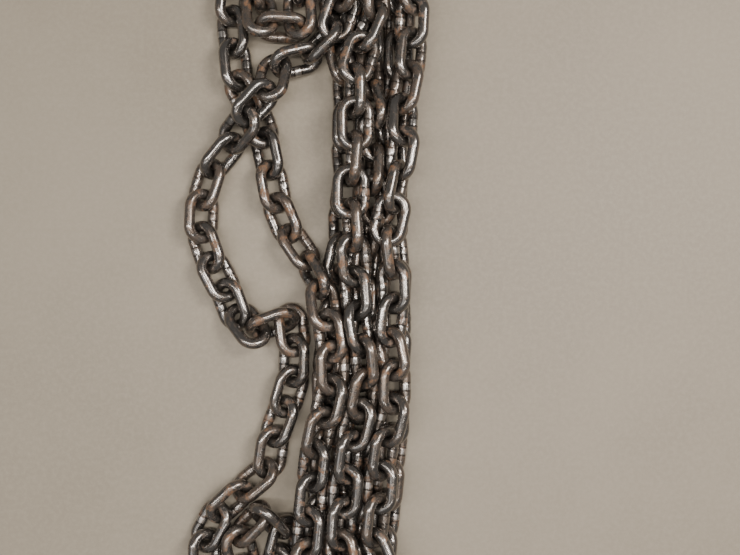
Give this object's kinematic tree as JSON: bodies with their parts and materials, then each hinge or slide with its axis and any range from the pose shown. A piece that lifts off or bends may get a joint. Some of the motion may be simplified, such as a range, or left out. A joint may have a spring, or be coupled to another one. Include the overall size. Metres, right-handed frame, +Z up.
{
  "type": "load binder chain",
  "caption": "Welded-link steel load binder chain laid back and forth in a two-layer pile, with two free tails that end in clevis grab hooks.",
  "frame": {"origin": "middle of the whole chain's box, on the ground it lies on", "axes": "+Z up, +Y along the passes of the pile, +X across them, towards the two-layer side"},
  "size_m": [0.3176, 1.707, 0.0581],
  "materials": {
    "chain_steel": "dark oiled bare steel with a brown film and rust spots",
    "hook_forging": "dark forged steel, worn at the slot",
    "clevis_pin": "turned steel, dulled",
    "cotter_wire": "dull wire"
  },
  "bodies": {
    "pile": {"pile_run_01": "chain_steel", "pile_run_02": "chain_steel", "pile_run_03": "chain_steel", "pile_run_04": "chain_steel", "pile_run_05": "chain_steel", "pile_run_06": "chain_steel", "pile_run_07": "chain_steel", "pile_run_08": "chain_steel", "pile_run_09": "chain_steel", "pile_run_10": "chain_steel", "pile_run_11": "chain_steel", "pile_run_12": "chain_steel", "pile_run_13": "chain_steel", "pile_run_14": "chain_steel", "pile_run_15": "chain_steel", "pile_run_16": "chain_steel", "pile_run_17": "chain_steel", "pile_run_18": "chain_steel", "pile_run_19": "chain_steel", "pile_run_20": "chain_steel", "pile_run_21": "chain_steel", "pile_run_22": "chain_steel"},
    "tail_a_01": {"tail_a_link_01": "chain_steel"},
    "tail_a_02": {"tail_a_link_02": "chain_steel"},
    "tail_a_03": {"tail_a_link_03": "chain_steel"},
    "tail_a_04": {"tail_a_link_04": "chain_steel"},
    "tail_a_05": {"tail_a_link_05": "chain_steel"},
    "tail_a_06": {"tail_a_link_06": "chain_steel"},
    "tail_a_07": {"tail_a_link_07": "chain_steel"},
    "tail_a_08": {"tail_a_link_08": "chain_steel"},
    "tail_a_09": {"tail_a_link_09": "chain_steel"},
    "tail_a_10": {"tail_a_link_10": "chain_steel"},
    "tail_a_11": {"tail_a_link_11": "chain_steel"},
    "tail_a_12": {"tail_a_link_12": "chain_steel"},
    "hook_a": {"tail_a_hook": "hook_forging", "tail_a_pin": "clevis_pin", "tail_a_cotter": "cotter_wire"},
    "tail_b_01": {"tail_b_link_01": "chain_steel"},
    "tail_b_02": {"tail_b_link_02": "chain_steel"},
    "tail_b_03": {"tail_b_link_03": "chain_steel"},
    "tail_b_04": {"tail_b_link_04": "chain_steel"},
    "tail_b_05": {"tail_b_link_05": "chain_steel"},
    "tail_b_06": {"tail_b_link_06": "chain_steel"},
    "tail_b_07": {"tail_b_link_07": "chain_steel"},
    "tail_b_08": {"tail_b_link_08": "chain_steel"},
    "tail_b_09": {"tail_b_link_09": "chain_steel"},
    "tail_b_10": {"tail_b_link_10": "chain_steel"},
    "tail_b_11": {"tail_b_link_11": "chain_steel"},
    "tail_b_12": {"tail_b_link_12": "chain_steel"},
    "hook_b": {"tail_b_hook": "hook_forging", "tail_b_pin": "clevis_pin", "tail_b_cotter": "cotter_wire"}
  },
  "joints": [
    {"name": "tail_a_joint_01", "type": "hinge", "parent": "pile", "child": "tail_a_01", "pos_m": [0.03549, 0.42754, 0.01401], "axis": [-0.7071, 0, -0.7071], "range_deg": [-45, 45]},
    {"name": "tail_a_joint_02", "type": "hinge", "parent": "tail_a_01", "child": "tail_a_02", "pos_m": [0.03385, 0.45836, 0.01564], "axis": [-0.7051, -0.075, 0.7051], "range_deg": [-45, 45]},
    {"name": "tail_a_joint_03", "type": "hinge", "parent": "tail_a_02", "child": "tail_a_03", "pos_m": [0.0293, 0.48889, 0.01434], "axis": [0.6936, 0.1336, 0.7078], "range_deg": [-45, 45]},
    {"name": "tail_a_joint_04", "type": "hinge", "parent": "tail_a_03", "child": "tail_a_04", "pos_m": [0.02176, 0.5188, 0.01608], "axis": [0.6778, 0.2118, -0.7041], "range_deg": [-45, 45]},
    {"name": "tail_a_joint_05", "type": "hinge", "parent": "tail_a_04", "child": "tail_a_05", "pos_m": [0.01275, 0.54836, 0.0163], "axis": [-0.6749, -0.2008, -0.71], "range_deg": [-45, 45]},
    {"name": "tail_a_joint_06", "type": "hinge", "parent": "tail_a_05", "child": "tail_a_06", "pos_m": [0.00373, 0.57791, 0.01651], "axis": [-0.6083, -0.1911, 0.7703], "range_deg": [-45, 45]},
    {"name": "tail_a_joint_07", "type": "hinge", "parent": "tail_a_06", "child": "tail_a_07", "pos_m": [-0.00528, 0.60747, 0.01672], "axis": [0.7942, 0.2383, 0.559], "range_deg": [-45, 45]},
    {"name": "tail_a_joint_08", "type": "hinge", "parent": "tail_a_07", "child": "tail_a_08", "pos_m": [-0.0143, 0.63702, 0.01693], "axis": [0.4527, 0.1444, -0.8799], "range_deg": [-45, 45]},
    {"name": "tail_a_joint_09", "type": "hinge", "parent": "tail_a_08", "child": "tail_a_09", "pos_m": [-0.02331, 0.66658, 0.01714], "axis": [-0.8829, -0.2666, -0.3865], "range_deg": [-45, 45]},
    {"name": "tail_a_joint_10", "type": "hinge", "parent": "tail_a_09", "child": "tail_a_10", "pos_m": [-0.03233, 0.69613, 0.01735], "axis": [-0.2796, -0.0921, 0.9557], "range_deg": [-45, 45]},
    {"name": "tail_a_joint_11", "type": "hinge", "parent": "tail_a_10", "child": "tail_a_11", "pos_m": [-0.04135, 0.72569, 0.01756], "axis": [0.9377, 0.2846, 0.1992], "range_deg": [-45, 45]},
    {"name": "tail_a_joint_12", "type": "hinge", "parent": "tail_a_11", "child": "tail_a_12", "pos_m": [-0.05032, 0.75526, 0.01756], "axis": [0.0978, 0.0297, -0.9948], "range_deg": [-45, 45]},
    {"name": "hook_a_swing", "type": "hinge", "parent": "tail_a_12", "child": "hook_a", "pos_m": [-0.05638, 0.77521, 0.01756], "axis": [-0.004, -0.0012, 1], "range_deg": [-60, 60]},
    {"name": "tail_b_joint_01", "type": "hinge", "parent": "pile", "child": "tail_b_01", "pos_m": [0.02988, -0.42754, 0.01401], "axis": [-0.7071, 0, 0.7071], "range_deg": [-45, 45]},
    {"name": "tail_b_joint_02", "type": "hinge", "parent": "tail_b_01", "child": "tail_b_02", "pos_m": [0.03152, -0.45836, 0.01564], "axis": [-0.7051, -0.075, -0.7051], "range_deg": [-45, 45]},
    {"name": "tail_b_joint_03", "type": "hinge", "parent": "tail_b_02", "child": "tail_b_03", "pos_m": [0.03607, -0.48889, 0.01434], "axis": [0.6936, 0.1336, -0.7078], "range_deg": [-45, 45]},
    {"name": "tail_b_joint_04", "type": "hinge", "parent": "tail_b_03", "child": "tail_b_04", "pos_m": [0.04361, -0.5188, 0.01608], "axis": [0.6778, 0.2118, 0.7041], "range_deg": [-45, 45]},
    {"name": "tail_b_joint_05", "type": "hinge", "parent": "tail_b_04", "child": "tail_b_05", "pos_m": [0.05262, -0.54836, 0.0163], "axis": [-0.6749, -0.2008, 0.71], "range_deg": [-45, 45]},
    {"name": "tail_b_joint_06", "type": "hinge", "parent": "tail_b_05", "child": "tail_b_06", "pos_m": [0.06164, -0.57791, 0.01651], "axis": [-0.6083, -0.1911, -0.7703], "range_deg": [-45, 45]},
    {"name": "tail_b_joint_07", "type": "hinge", "parent": "tail_b_06", "child": "tail_b_07", "pos_m": [0.07065, -0.60747, 0.01672], "axis": [0.7942, 0.2383, -0.559], "range_deg": [-45, 45]},
    {"name": "tail_b_joint_08", "type": "hinge", "parent": "tail_b_07", "child": "tail_b_08", "pos_m": [0.07967, -0.63702, 0.01693], "axis": [0.4527, 0.1444, 0.8799], "range_deg": [-45, 45]},
    {"name": "tail_b_joint_09", "type": "hinge", "parent": "tail_b_08", "child": "tail_b_09", "pos_m": [0.08869, -0.66658, 0.01714], "axis": [-0.8829, -0.2666, 0.3865], "range_deg": [-45, 45]},
    {"name": "tail_b_joint_10", "type": "hinge", "parent": "tail_b_09", "child": "tail_b_10", "pos_m": [0.0977, -0.69613, 0.01735], "axis": [-0.2796, -0.0921, -0.9557], "range_deg": [-45, 45]},
    {"name": "tail_b_joint_11", "type": "hinge", "parent": "tail_b_10", "child": "tail_b_11", "pos_m": [0.10672, -0.72569, 0.01756], "axis": [0.9377, 0.2846, -0.1992], "range_deg": [-45, 45]},
    {"name": "tail_b_joint_12", "type": "hinge", "parent": "tail_b_11", "child": "tail_b_12", "pos_m": [0.11569, -0.75526, 0.01756], "axis": [0.0978, 0.0297, 0.9948], "range_deg": [-45, 45]},
    {"name": "hook_b_swing", "type": "hinge", "parent": "tail_b_12", "child": "hook_b", "pos_m": [0.12175, -0.77521, 0.01756], "axis": [0.004, 0.0012, 1], "range_deg": [-60, 60]}
  ]
}
